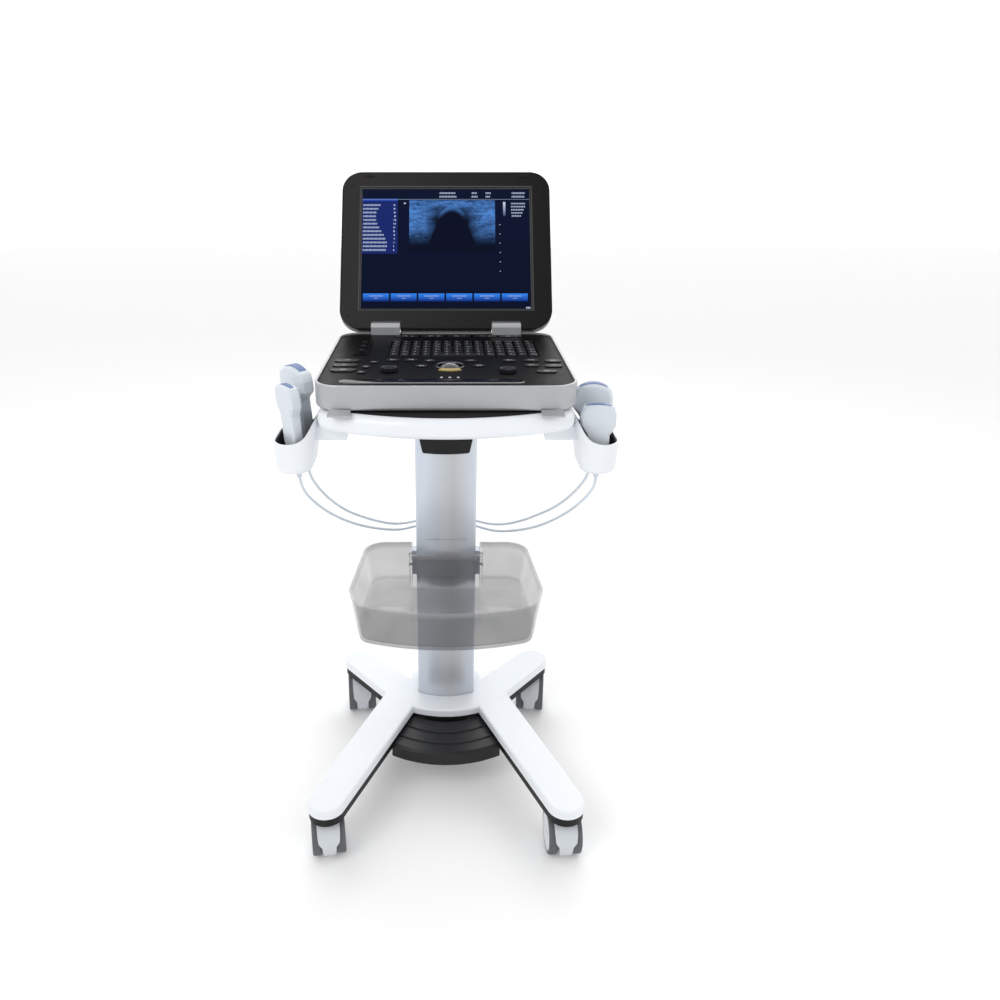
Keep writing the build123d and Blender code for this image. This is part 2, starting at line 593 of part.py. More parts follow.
def deck():
    middle = (SHELL_FRONT_Y + SHELL_BACK_Y) / 2
    inset = SHELL_WALL + 0.4
    bottom = DECK_TOP - DECK_THICK
    panel = plate(0, middle, 2 * (SHELL_HALF - inset), SHELL_BACK_Y - SHELL_FRONT_Y - 2 * inset,
                  SHELL_CORNER_R - inset, bottom, DECK_TOP)
    ridge = block(SLIDER_X - 11, SLIDER_X + 11, 34, 126, DECK_TOP, DECK_TOP + 1.5)
    panel += ridge
    panel += rod(*BALL, DECK_TOP, 20.5, 1.0)
    keys_middle = (sum(KEYS_X) / 2, sum(KEYS_Y) / 2)
    panel -= plate(*keys_middle, KEYS_X[1] - KEYS_X[0] + 2, KEYS_Y[1] - KEYS_Y[0] + 2, 3, 790, 810)
    panel -= plate(22.5, FUNCTION_KEYS_Y, 226, 18, 6, 790, 810)
    panel -= rod(*BALL, 790, 17.0, 20)
    panel -= extrude(Pos(0, 0, 790) * enter_key_plan(BUTTON_GAP), 20)
    for x, y, width, depth, radius in PANEL_BUTTONS:
        panel -= plate(x, y, width + 2 * BUTTON_GAP, depth + 2 * BUTTON_GAP, radius, 790, 810)
    for x, y in KNOBS.values():
        panel -= rod(x, y, 790, 3.0 + RUNNING, 20)
    for y in SLIDER_YS:
        panel -= plate(SLIDER_X, y, 16, 3.4, 1.6, 790, 815)
    save("deck_panel", panel)


def controls():
    pitch_x = (KEYS_X[1] - KEYS_X[0]) / KEY_COLUMNS
    pitch_y = (KEYS_Y[1] - KEYS_Y[0]) / KEY_ROWS
    keypad = block(*KEYS_X, *KEYS_Y, 799.0, 800.0)
    for row in range(KEY_ROWS):
        for column in range(KEY_COLUMNS):
            x = KEYS_X[0] + (column + 0.5) * pitch_x
            y = KEYS_Y[0] + (row + 0.5) * pitch_y
            if row == 0 and 4 <= column <= 8:
                continue
            keypad += block(x - pitch_x / 2 + 0.9, x + pitch_x / 2 - 0.9,
                            y - pitch_y / 2 + 0.9, y + pitch_y / 2 - 0.9, 800.0, BUTTON_TOP)
    space_x = KEYS_X[0] + 4 * pitch_x
    keypad += block(space_x + 0.9, space_x + 5 * pitch_x - 0.9, KEYS_Y[0] + 0.9, KEYS_Y[0] + pitch_y - 0.9,
                    800.0, BUTTON_TOP)
    save("keyboard_keys", keypad)

    strip = block(-90, 135, FUNCTION_KEYS_Y - 8, FUNCTION_KEYS_Y + 8, 799.0, 800.0)
    for x in FUNCTION_KEYS_X:
        strip += plate(x, FUNCTION_KEYS_Y, 42, 14, 5, 800.0, BUTTON_TOP - 1)
    save("function_keys", strip)

    buttons = [plate(*button, BUTTON_FOOT, BUTTON_TOP) for button in PANEL_BUTTONS]
    save("panel_buttons", *buttons)
    save("enter_key", extrude(Pos(0, 0, BUTTON_FOOT) * enter_key_plan(0), BUTTON_TOP - BUTTON_FOOT))

    for name, (x, y) in KNOBS.items():
        knob = rod(x, y, DECK_TOP + 0.8, KNOB_R, 5.2)
        knob = chamfer(knob.faces().sort_by(Axis.Z)[-1].edges(), 1.2)
        save(f"knob_{name}", knob + rod(x, y, 796, 3.0, 12))

    save("trackball", Pos(*BALL, BALL_TOP - BALL_R) * Sphere(BALL_R))

    sliders = []
    for y in SLIDER_YS:
        cap = block(SLIDER_X - 3.5, SLIDER_X + 3.5, y - 5, y + 5, DECK_TOP + 2.0, DECK_TOP + 5.5)
        sliders.append(cap + block(SLIDER_X - 2, SLIDER_X + 2, y - 1.2, y + 1.2, 797, DECK_TOP + 3))
    save("gain_sliders", *sliders)

    save("main_board", block(-149, 149, 0, 170, BOARD_Z, BOARD_Z + 1.6))
    save("battery_pack", block(-110, 110, -128, -64, SHELL_BOTTOM, 790))


# ---------------------------------------------------------------- lid
LID_PLACE = Pos(0, HINGE_Y, HINGE_Z) * Rot(90 - LID_LEAN, 0, 0)


def lid_plan(inset):
    """The lid's outline in its own plane, with rounder corners at the top."""
    height = LID_TOP_S - LID_BOTTOM_S
    outline = Pos(0, LID_BOTTOM_S + height / 2) * Rectangle(2 * LID_HALF, height)
    outline = fillet(outline.vertices().group_by(Axis.Y)[-1], LID_TOP_CORNER)
    outline = fillet(outline.vertices().group_by(Axis.Y)[0], LID_BOTTOM_CORNER)
    return offset(outline, -inset) if inset else outline


def lid():
    face_back = LID_FACE_T - BEZEL_THICK
    back = extrude(Pos(0, 0, LID_BACK_T) * lid_plan(0), face_back - LID_BACK_T)
    back = fillet(back.faces().sort_by(Axis.Z)[0].edges(), 6)
    hollow = extrude(Pos(0, 0, LID_BACK_T + 2.5) * lid_plan(2.5), 30)
    bezel = extrude(Pos(0, 0, face_back) * lid_plan(0), BEZEL_THICK)
    bezel = fillet(bezel.faces().sort_by(Axis.Z)[-1].edges(), 1.2)
    screen_middle = SCREEN_BOTTOM_S + SCREEN_H / 2
    bezel -= plate(0, screen_middle, SCREEN_W, SCREEN_H, 2, -5, 20)
    x0, x1 = HINGE_BLOCK_X
    for side in (-1, 1):
        lump_x = sorted((side * (x0 - 11), side * (x1 + 11)))
        hollow -= block(*lump_x, -20, 16, -40, 40)
    back -= hollow
    pins = []
    blocks = []
    for side in (-1, 1):
        notch_x = sorted((side * (x0 - 1), side * (x1 + 1)))
        notch = block(*notch_x, -20, 10, -40, 40)
        back -= notch
        bezel -= notch
        low, high = sorted((side * (x0 - 8), side * (x1 + 8)))
        back -= rod(low, 0, 0, PIN_R, high - low, "X")
        pins.append(LID_PLACE * rod(low, 0, 0, PIN_R, high - low, "X"))
        start, end = sorted((side * x0, side * x1))
        barrel = rod(start, HINGE_Y, HINGE_Z, 8, end - start, "X")
        barrel += block(start, end, 190, 199, DECK_TOP, HINGE_Z)
        blocks.append(barrel - rod(start - 1, HINGE_Y, HINGE_Z, PIN_R + RUNNING, end - start + 2, "X"))
    save("lid_back", LID_PLACE * back)
    save("lid_bezel", LID_PLACE * bezel)
    panel = plate(0, screen_middle, SCREEN_W + 12, SCREEN_H + 10, 2, face_back - 7, face_back)
    save("lcd_panel", LID_PLACE * panel)
    save("hinge_pins", *pins)
    save("hinge_blocks", *blocks)


def main():
    os.makedirs("parts", exist_ok=True)
    base()
    foot_rest()
    casters()
    column()
    basket()
    table()
    trolley_screws()
    cups()
    probes()
    leads()
    shell()
    deck()
    controls()
    lid()


main()
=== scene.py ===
# %% [markdown]
# # Ultrasound machine on its trolley
# A laptop-style scanner stands on a wheeled column with a basket, a foot rest and two probe cups.
# The CAD model is the frame: its parts, sizes and joints are fixed, so every piece here only has to be
# put where the frame says. The camera and the leads come first, then the floor and lights, then the
# materials, and last the pieces that are better made as a mesh: screen, trim, keys, knobs and marks.

# %% Load the frame
import json
import math

import bpy
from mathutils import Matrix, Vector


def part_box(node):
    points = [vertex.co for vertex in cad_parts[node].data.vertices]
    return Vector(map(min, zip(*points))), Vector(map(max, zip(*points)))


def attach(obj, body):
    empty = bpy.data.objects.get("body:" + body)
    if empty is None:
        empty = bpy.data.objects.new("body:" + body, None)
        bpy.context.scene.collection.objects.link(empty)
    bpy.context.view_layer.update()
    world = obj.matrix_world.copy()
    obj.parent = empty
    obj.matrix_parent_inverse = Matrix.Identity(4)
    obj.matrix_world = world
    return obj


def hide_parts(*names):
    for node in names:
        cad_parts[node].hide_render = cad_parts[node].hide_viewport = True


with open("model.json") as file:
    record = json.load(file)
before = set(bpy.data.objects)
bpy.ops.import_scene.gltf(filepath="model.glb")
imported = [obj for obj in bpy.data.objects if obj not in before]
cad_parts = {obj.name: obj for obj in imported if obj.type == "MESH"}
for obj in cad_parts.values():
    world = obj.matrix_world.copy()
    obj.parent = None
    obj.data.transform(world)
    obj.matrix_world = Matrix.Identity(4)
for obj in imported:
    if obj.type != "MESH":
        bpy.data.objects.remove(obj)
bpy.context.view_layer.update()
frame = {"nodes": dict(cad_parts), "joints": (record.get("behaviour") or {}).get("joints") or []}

# %% [markdown]
# ## Camera
# It stands in front, a little above the lid, and looks down at the trolley. The object could be centred
# by turning the camera, but that would make the column lean, so a small shift of the lens is used.

# %% Camera
LENS_MM = 30.56
LENS_SHIFT = (0.054, 0.0034)
CAMERA_PLACE = (0.0, -1.3633, 1.0969)
CAMERA_TILT = math.radians(67.18)
camera_data = bpy.data.cameras.new("camera")
camera_data.lens = LENS_MM
camera_data.sensor_width = 36.0
camera_data.shift_x, camera_data.shift_y = LENS_SHIFT
camera = bpy.data.objects.new("camera", camera_data)
camera.location = CAMERA_PLACE
camera.rotation_euler = (CAMERA_TILT, 0.0, 0.0)
bpy.context.scene.collection.objects.link(camera)
bpy.context.scene.camera = camera
print("camera at", CAMERA_PLACE, "lens", LENS_MM, "mm")

# %% [markdown]
# ## Leads
# Each lead is a limp rubber cable that runs from its probe's tail under a cup to the grommet in the
# column's back. It could be a swept mesh, but a curve keeps its length and bends easy to read, so it is
# one NURBS spline through the CAD route's points, in millimetres in the trolley's working frame.
# Each point's radius is the tube's radius and the bevel depth is one, so the curve's box fits the tube.

# %% Leads
MM = 0.001
BOX_CENTRE_Y = 65.98
FLOOR_Z = 13.0
LEAD_DIAMETER = 0.0044
LEADS = {
    "left_linear": [
        (-217, -122, 659), (-216.1, -122, 646), (-210, -112, 625), (-196, -81, 592), (-178, -38, 557),
        (-156, 8, 524), (-133, 52, 497), (-111, 92, 475), (-90, 126, 458), (-74, 151, 449.5), (-58, 170, 446),
        (-39, 181, 445), (-19, 181.5, 446), (-9, 171.5, 447), (-9, 159, 447)],
    "left_convex": [
        (-211, -76, 659), (-210.1, -76, 646), (-204.5, -68.5, 628), (-195, -52, 604), (-181, -27, 576),
        (-164, 6, 547), (-143, 46, 519), (-120, 86, 493), (-97, 120, 473), (-78, 147, 462), (-60, 168, 457),
        (-40, 180, 455.5), (-19, 181.5, 456), (-9, 171.5, 457), (-9, 159, 457)],
    "right_linear": [
        (222, -122, 659), (222.34, -122, 646), (214, -113, 625), (198, -88, 593), (179, -51, 560),
        (156, -6, 526), (133, 40, 498), (111, 84, 475), (90, 121, 458), (74, 149, 449.5), (58, 170, 446),
        (39, 181, 445), (19, 181.5, 446), (9, 171.5, 447), (9, 159, 447)],
    "right_convex": [
        (219, -76, 659), (219.11, -76, 646), (212, -68, 626), (197, -46, 595), (179, -16, 564),
        (156, 22, 534), (134, 61, 506), (112, 98, 483), (92, 128, 468), (76, 151, 460), (60, 168, 457),
        (40, 180, 455.5), (19, 181.5, 456), (9, 171.5, 457), (9, 159, 457)],
}


def at(x, y, z):
    """A point of the working frame, in millimetres, as metres in the row frame."""
    return (x * MM, (y - BOX_CENTRE_Y) * MM, (z - FLOOR_Z) * MM)


def make_lead(name):
    points = [at(*point) for point in LEADS[name]]
    curve = bpy.data.curves.new(f"{name}_lead", "CURVE")
    curve.dimensions = "3D"
    curve.bevel_depth = 1.0
    curve.bevel_resolution = 5
    curve.resolution_u = 10
    spline = curve.splines.new("NURBS")
    spline.points.add(len(points) - 1)
    for point, place in zip(spline.points, points):
        point.co = (*place, 1.0)
        point.radius = LEAD_DIAMETER / 2
    spline.order_u = 3
    spline.use_endpoint_u = True
    lead = bpy.data.objects.new(f"{name}_lead", curve)
    bpy.context.scene.collection.objects.link(lead)
    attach(lead, "trolley")
    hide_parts(f"lead_{name}")
    return lead


leads = {name: make_lead(name) for name in LEADS}
print("leads", ", ".join(leads))

# %% [markdown]
# ## Floor and light
# A studio has a pale floor that runs into a pale wall. One curved sheet could make both, but two big
# planes are simpler, and a faint glow on each keeps the far part as light as the near part.
# One broad key light stands on the left, with a fill on the right and one behind.

# %% Floor and backdrop
STUDIO_SIZE = 60.0
BACKDROP_Y = 9.0
FLOOR_GLOW = 0.10
BACKDROP_GLOW = 0.55
bpy.ops.mesh.primitive_plane_add(size=STUDIO_SIZE)
floor = bpy.context.object
floor.name = "floor"
bpy.ops.mesh.primitive_plane_add(size=STUDIO_SIZE, location=(0.0, BACKDROP_Y, 0.0),
                                 rotation=(math.pi / 2, 0.0, 0.0))
backdrop = bpy.context.object
backdrop.name = "backdrop"
for stage_sheet, glow in ((floor, FLOOR_GLOW), (backdrop, BACKDROP_GLOW)):
    paper = bpy.data.materials.new(f"{stage_sheet.name}_paper")
    paper.use_nodes = True
    shader = paper.node_tree.nodes["Principled BSDF"]
    shader.inputs["Base Color"].default_value = (0.86, 0.86, 0.86, 1.0)
    shader.inputs["Roughness"].default_value = 0.9
    shader.inputs["Emission Color"].default_value = (1.0, 1.0, 1.0, 1.0)
    shader.inputs["Emission Strength"].default_value = glow
    stage_sheet.data.materials.append(paper)
print("studio", STUDIO_SIZE, "m wide")


# %% Lights
def area_light(name, place, target, size, watts):
    """A square soft light that faces its target."""
    data = bpy.data.lights.new(name, "AREA")
    data.size = size
    data.energy = watts
    light = bpy.data.objects.new(name, data)
    light.location = place
    direction = [t - p for t, p in zip(target, place)]
    flat = math.hypot(direction[0], direction[1])
    heading = math.atan2(direction[1], direction[0])
    light.rotation_euler = (math.atan2(flat, -direction[2]), 0.0, heading - math.pi / 2)
    bpy.context.scene.collection.objects.link(light)


area_light("key", (-1.5, -1.9, 2.5), (0.0, 0.0, 0.7), 1.4, 25)
area_light("fill", (2.2, -1.2, 1.5), (0.0, 0.0, 0.5), 1.8, 9)
area_light("back", (0.2, 1.9, 2.3), (0.0, 0.0, 0.8), 1.8, 14)
world = bpy.data.worlds.new("studio")
world.use_nodes = True
world.node_tree.nodes["Background"].inputs["Color"].default_value = (1.0, 1.0, 1.0, 1.0)
world.node_tree.nodes["Background"].inputs["Strength"].default_value = 0.75
bpy.context.scene.world = world
bpy.context.scene.view_settings.view_transform = "Standard"
print("lights", len(bpy.data.lights))

# %% [markdown]
# ## Material kit
# A material is a graph of nodes, and its maths is hard to read when each node is added by hand.
# A small class wraps a socket so that sockets add, multiply and compare like numbers, and a second
# class holds one material. Every node is made by one method, which sets the node's settings first.


# %% Socket arithmetic
class Sock:
    """A node socket with arithmetic: each operation adds one Math node."""

    def __init__(self, paint, socket):
        self.paint = paint
        self.socket = socket

    def math(self, operation, *others):
        return self.paint.maths(operation, self, *others)

    def __add__(self, other):
        return self.math("ADD", other)

    def __sub__(self, other):
        return self.math("SUBTRACT", other)

    def __rsub__(self, other):
        return self.paint.maths("SUBTRACT", other, self)

    def __mul__(self, other):
        return self.math("MULTIPLY", other)

    def __truediv__(self, other):
        return self.math("DIVIDE", other)

    def __abs__(self):
        return self.math("ABSOLUTE")

    __radd__ = __add__
    __rmul__ = __mul__

    def over(self, edge):
        return self.math("GREATER_THAN", edge)

    def under(self, edge):
        return self.math("LESS_THAN", edge)

    def inside(self, low, high):
        return self.over(low) * self.under(high)

    def floor(self):
        return self.math("FLOOR")

    def within_cell(self, pitch):
        """Distance past the last multiple of the pitch, from 0 to the pitch."""
        return self.math("FLOORED_MODULO", pitch)

    def or_(self, other):
        return self.math("MAXIMUM", other)

    def ramp(self, low, high):
        """0 at low, 1 at high, straight between and flat outside."""
        scaled = (self - low) / (high - low)
        return scaled.math("MAXIMUM", 0.0).math("MINIMUM", 1.0)


# %% Material maker
class Paint:
    """A material being made: coordinates, textures, colour mixes and the shader's sockets."""

    def __init__(self, name, color, roughness, metallic=0.0, coat=0.0, specular=0.5):
        self.material = bpy.data.materials.new(name)
        self.material.use_nodes = True
        self.tree = self.material.node_tree
        self.shader = self.tree.nodes["Principled BSDF"]
        for socket, value in (("Base Color", (*color, 1.0)), ("Roughness", roughness), ("Metallic", metallic),
                              ("Coat Weight", coat), ("Specular IOR Level", specular)):
            self.shader.inputs[socket].default_value = value
        self.coordinates = Sock(self, self.node("ShaderNodeTexCoord").outputs["Object"])
        split = self.node("ShaderNodeSeparateXYZ", {}, {0: self.coordinates})
        self.x, self.y, self.z = (Sock(self, output) for output in split.outputs)

    def node(self, kind, settings=None, sockets=None):
        """Adds a node: its settings first, then a value or a link for each socket."""
        node = self.tree.nodes.new(kind)
        for name, value in (settings or {}).items():
            setattr(node, name, value)
        for name, value in (sockets or {}).items():
            if isinstance(value, Sock):
                self.tree.links.new(value.socket, node.inputs[name])
            else:
                node.inputs[name].default_value = value
        return node

    def maths(self, operation, *values):
        node = self.node("ShaderNodeMath", {"operation": operation}, dict(enumerate(values)))
        return Sock(self, node.outputs[0])

    def along(self, origin, direction):
        """How far a point lies from an origin, measured along a direction."""
        return ((self.x - origin[0]) * direction[0] + (self.y - origin[1]) * direction[1]
                + (self.z - origin[2]) * direction[2])

    def noise(self, scale, detail=3.0, stretch=(1.0, 1.0, 1.0)):
        """Soft random clouding, stretched along the axes where stretch is small."""
        mapping = self.node("ShaderNodeMapping", {}, {"Scale": stretch, "Vector": self.coordinates})
        place = Sock(self, mapping.outputs[0])
        node = self.node("ShaderNodeTexNoise", {}, {"Scale": scale, "Detail": detail, "Vector": place})
        return Sock(self, node.outputs["Fac"])

    def mix(self, factor, first, second):
        """The first colour where the factor is 0 and the second where it is 1."""
        first, second = (color if isinstance(color, Sock) else (*color, 1.0) for color in (first, second))
        node = self.node("ShaderNodeMix", {"data_type": "RGBA"}, {"Factor": factor, 6: first, 7: second})
        return Sock(self, node.outputs[2])

    def set(self, name, value):
        self.tree.links.new(value.socket, self.shader.inputs[name])

    def bump(self, height, strength, distance):
        node = self.node("ShaderNodeBump", {}, {"Strength": strength, "Distance": distance, "Height": height})
        self.tree.links.new(node.outputs[0], self.shader.inputs["Normal"])


# %% Common finishes
def shade(color, factor):
    return tuple(min(1.0, channel * factor) for channel in color)


def moulded(name, color, roughness, grain=900.0, strength=0.12, coat=0.0, metallic=0.0, variation=0.05,
            specular=0.5):
    """Moulded plastic: faint clouding, uneven gloss and a fine grain."""
    paint = Paint(name, color, roughness, metallic, coat, specular)
    cloud = paint.noise(9.0, 3.0)
    paint.set("Base Color", paint.mix(cloud, shade(color, 1 - variation), shade(color, 1 + variation)))
    paint.set("Roughness", paint.noise(60.0, 4.0) * 0.12 + (roughness - 0.06))
    paint.bump(paint.noise(grain, 2.0), strength, 0.0002)
    return paint.material


def brushed(name, color, roughness, stretch, metallic=0.9):
    """Metal with fine lines along one axis."""
    paint = Paint(name, color, roughness, metallic)
    lines = paint.noise(500.0, 2.0, stretch)
    paint.set("Base Color", paint.mix(lines, shade(color, 0.92), shade(color, 1.06)))
    paint.set("Roughness", lines * 0.16 + (roughness - 0.08))
    paint.bump(lines, 0.15, 0.0001)
    return paint.material


def cover_node(name, material):
    """Gives a CAD node its material in every slot."""
    thing = frame["nodes"][name]
    if not thing.material_slots:
        thing.data.materials.append(material)
    for slot in thing.material_slots:
        slot.material = material


floor_paint = Paint("floor_paint", (0.90, 0.90, 0.90), 0.7)
floor.data.materials.append(floor_paint.material)

# %% [markdown]
# ## Materials of the trolley
# The covers are white moulded plastic over a black powder-coated frame, the column is silver aluminium,
# and the basket is smoky clear plastic. Each one could be a flat colour, but real mouldings show faint
# clouding, uneven gloss and a fine grain, so those come from noise at the scale of each finish.

# %% Trolley materials
white = moulded("white_moulding", (0.80, 0.83, 0.87), 0.38, coat=0.15)
black_paint = moulded("black_powder_coat", (0.010, 0.010, 0.011), 0.45, grain=1400, strength=0.3,
                      specular=0.2)
black_plastic = moulded("black_moulding", (0.009, 0.009, 0.010), 0.36, strength=0.2, specular=0.25)
rubber = moulded("black_rubber", (0.012, 0.012, 0.013), 0.7, grain=700, strength=0.3, specular=0.2)
castor_grey = moulded("castor_moulding", (0.60, 0.63, 0.67), 0.42)
steel = brushed("zinc_steel", (0.55, 0.55, 0.56), 0.35, (1.0, 1.0, 0.1), metallic=1.0)


def column_paint():
    """Silver painted aluminium with faint drawn lines up the column, and painted light: lighter, bluer edges
    as a painted reflection, a darker middle as painted shade, and all of it lighter towards the top.
    """
    paint = Paint("column_silver", (0.62, 0.64, 0.67), 0.36, metallic=0.55)
    lines = paint.noise(900.0, 2.0, (1.0, 1.0, 0.01))
    # Painted shade: a band down the middle of the column is darker than its edges.
    painted_shade_middle = 1.0 - abs(paint.x - 0.012).ramp(0.0, 0.05)
    # Painted light: the column is lighter towards the top, and its edge colours are lighter and bluer as a
    # painted reflection.
    height = paint.z.ramp(0.1, 0.6)
    edge = paint.mix(height, (0.56, 0.60, 0.66), (0.70, 0.76, 0.84))
    middle = paint.mix(height, (0.50, 0.51, 0.53), (0.56, 0.57, 0.59))
    paint.set("Base Color", paint.mix(painted_shade_middle, edge, middle))
    paint.set("Roughness", lines * 0.08 + 0.32)
    paint.bump(lines, 0.03, 0.0001)
    return paint.material


def clear_basket():
    """Smoky clear plastic, painted denser near its rim and floor where the light runs along it, and lighter
    at the rim as a painted highlight.
    """
    low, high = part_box("basket")
    paint = Paint("smoke_clear", (0.25, 0.25, 0.26), 0.12, coat=0.2)
    paint.material.surface_render_method = "BLENDED"
    rim = paint.z.ramp(high[2] - 0.012, high[2] - 0.001)
    foot = paint.z.ramp(low[2] + 0.010, low[2] + 0.001)
    cloud = paint.noise(14.0, 3.0)
    # Painted highlight: the colour is lighter along the rim.
    paint.set("Base Color", paint.mix(rim, (0.10, 0.10, 0.105), (0.30, 0.30, 0.31)))
    # Painted light: the plastic is made denser near the rim and the floor, where the light runs along it.
    paint.set("Alpha", cloud * 0.14 + 0.24 + rim * 0.22 + foot * 0.16)
    paint.set("Roughness", cloud * 0.08 + 0.08)
    return paint.material


def foot_rest_paint():
    """Near-black satin step with fine ribs that follow the step's curve."""
    centre = at(0, 127, 0)
    paint = Paint("ribbed_step", (0.010, 0.010, 0.011), 0.36, specular=0.3)
    radius = ((paint.x - centre[0]) * (paint.x - centre[0])
              + (paint.y - centre[1]) * (paint.y - centre[1])).math("SQRT")
    fine = radius.within_cell(0.0031).ramp(0.0, 0.0031)
    paint.set("Base Color", paint.mix(paint.noise(12.0), (0.008, 0.008, 0.009), (0.014, 0.014, 0.015)))
    paint.set("Roughness", paint.noise(80.0) * 0.14 + 0.28)
    paint.bump(fine, 0.25, 0.0003)
    return paint.material


def tyre_paint(name, centre, axis):
    """One castor wheel: grey tyre with a ribbed tread and an off-white disc on its outer face."""
    paint = Paint(name, (0.10, 0.11, 0.12), 0.6)
    along = paint.along(centre, axis)
    up = paint.z - centre[2]
    across = paint.along(centre, (-axis[1], axis[0], 0.0))
    radius = (up * up + across * across).math("SQRT")
    rubber_color = paint.mix(paint.noise(70.0), (0.085, 0.09, 0.10), (0.12, 0.125, 0.135))
    disc_color = paint.mix(radius.inside(0.0085, 0.0095), (0.72, 0.75, 0.79), (0.35, 0.37, 0.40))
    disc = radius.under(0.0315)
    paint.set("Base Color", paint.mix(disc, rubber_color, disc_color))
    paint.set("Roughness", 0.62 - disc * 0.24)
    groove = abs(along).within_cell(0.0026).under(0.0005) * radius.over(0.0365)
    paint.bump(groove * -1.0 + paint.noise(400.0) * 0.15, 0.5, 0.0005)
    return paint.material


for name in ("base_cover", "table_top", "cup_left", "cup_right"):
    cover_node(name, white)
for name in ("base_frame", "table_bracket"):
    cover_node(name, black_paint)
for name in ("column_head_insert", "bottom_cover"):
    cover_node(name, black_plastic)
for name in ("cord_grommet", "table_mat", "cup_liners"):
    cover_node(name, rubber)
for name in ("caster_stems", "trolley_screws", "basket_screws", "hinge_pins"):
    cover_node(name, steel)
cover_node("foot_rest", foot_rest_paint())
column_silver = column_paint()
for name in ("column_tube", "basket_brackets"):
    cover_node(name, column_silver)
cover_node("basket", clear_basket())

joints = {joint["name"]: joint for joint in frame["joints"]}
for corner in ("fl", "fr", "rl", "rr"):
    cover_node(f"caster_{corner}_housing", castor_grey)
    for side in ("left", "right"):
        roll = joints[f"wheel_{corner}_{side}_roll"]
        tyre = tyre_paint(f"tyre_{corner}_{side}", roll["pos_m"], roll["axis"])
        cover_node(f"caster_{corner}_wheel_{side}", tyre)


# %% Lead sheath
def lead_paint():
    """Pale satin rubber with a very fine skin."""
    paint = Paint("lead_sheath", (0.50, 0.54, 0.58), 0.5)
    paint.set("Base Color", paint.mix(paint.noise(30.0), (0.58, 0.64, 0.70), (0.68, 0.74, 0.80)))
    paint.set("Roughness", paint.noise(90.0) * 0.2 + 0.38)
    paint.bump(paint.noise(1500.0), 0.1, 0.0001)
    return paint.material


sheath = lead_paint()
for lead in leads.values():
    lead.data.materials.append(sheath)
print("trolley painted")

# %% [markdown]
# ## Materials of the machine
# The shell is satin silver paint, the deck a black lacquer, the keys matt black and the lid dark. Black
# parts differ mostly in gloss, so their colours are close together and their roughness is what varies.

# %% Machine materials
silver = moulded("silver_shell", (0.44, 0.45, 0.465), 0.36, metallic=0.45)
deck_gloss = moulded("deck_gloss", (0.004, 0.004, 0.0045), 0.40, grain=300, strength=0.02, specular=0.04)
key_black = moulded("key_black", (0.010, 0.010, 0.011), 0.42, grain=1500, strength=0.15, specular=0.2)
lid_black = moulded("lid_black", (0.008, 0.008, 0.009), 0.32, grain=1200, strength=0.10, specular=0.25)
board_green = moulded("board_green", (0.02, 0.14, 0.07), 0.5)
battery_grey = moulded("battery_grey", (0.10, 0.10, 0.11), 0.6)
probe_shell = moulded("probe_shell", (0.64, 0.69, 0.74), 0.36, coat=0.15)
lens_rubber = moulded("lens_rubber", (0.10, 0.17, 0.36), 0.4)
HINGE = at(0, 197.9, 816.5)
LEAN = math.radians(32.8)
UP_LID = (0.0, math.sin(LEAN), math.cos(LEAN))
OUT_OF_LID = (0.0, -math.cos(LEAN), math.sin(LEAN))


def bezel_paint():
    """Warm grey metallic bezel with painted shade that darkens it towards its right edge, and a black outer
    rim.
    """
    paint = Paint("bezel_grey", (0.03, 0.028, 0.028), 0.30, specular=0.12)
    up = paint.along(HINGE, UP_LID)
    # Painted shade: the grey darkens from the left towards the right edge.
    side = paint.x.ramp(-0.12, 0.19)
    grey = paint.mix(side, (0.026, 0.024, 0.024), (0.008, 0.008, 0.009))
    rim = abs(paint.x).over(0.1845).or_(up.over(0.2925)).or_(up.under(-0.0025))
    paint.set("Base Color", paint.mix(rim, grey, (0.008, 0.008, 0.009)))
    paint.set("Roughness", paint.noise(50.0) * 0.08 + 0.24)
    return paint.material


for name in ("machine_shell", "hinge_blocks", "machine_rests"):
    cover_node(name, silver)
for name in ("keyboard_keys", "function_keys", "panel_buttons", "gain_sliders"):
    cover_node(name, key_black)
cover_node("deck_panel", deck_gloss)
cover_node("lid_back", lid_black)
cover_node("lid_bezel", bezel_paint())
cover_node("lcd_panel", lid_black)
cover_node("main_board", board_green)
cover_node("battery_pack", battery_grey)
cover_node("knob_left", key_black)
cover_node("knob_right", key_black)
cover_node("trackball", moulded("ball_grey", (0.07, 0.07, 0.075), 0.12, coat=0.5))
cover_node("enter_key", moulded("enter_gold", (0.62, 0.47, 0.20), 0.25, coat=0.4))
for name in frame["nodes"]:
    if name.startswith("probe_"):
        cover_node(name, probe_shell)
    if name.startswith("lens_"):
        cover_node(name, lens_rubber)
print("machine painted")

# %% [markdown]
# ## Mesh pieces
# Every small piece is made the same way by hand: add a primitive, shape it in edit mode, round its
# edges, apply its place and hand it to the body that it moves with. These helpers hold those steps.


# %% Piece tools
def alone(thing):
    bpy.ops.object.select_all(action="DESELECT")
    thing.select_set(True)
    bpy.context.view_layer.objects.active = thing


def settle(thing, name, body, material, smooth=35.0):
    """Applies the transform, shades smooth by angle, names the piece, paints it and lets it ride."""
    alone(thing)
    bpy.ops.object.transform_apply(location=True, rotation=True, scale=True)
    if smooth:
        bpy.ops.object.shade_smooth_by_angle(angle=math.radians(smooth))
    thing.name = name
    thing.data.materials.clear()
    thing.data.materials.append(material)
    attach(thing, body)
    return thing


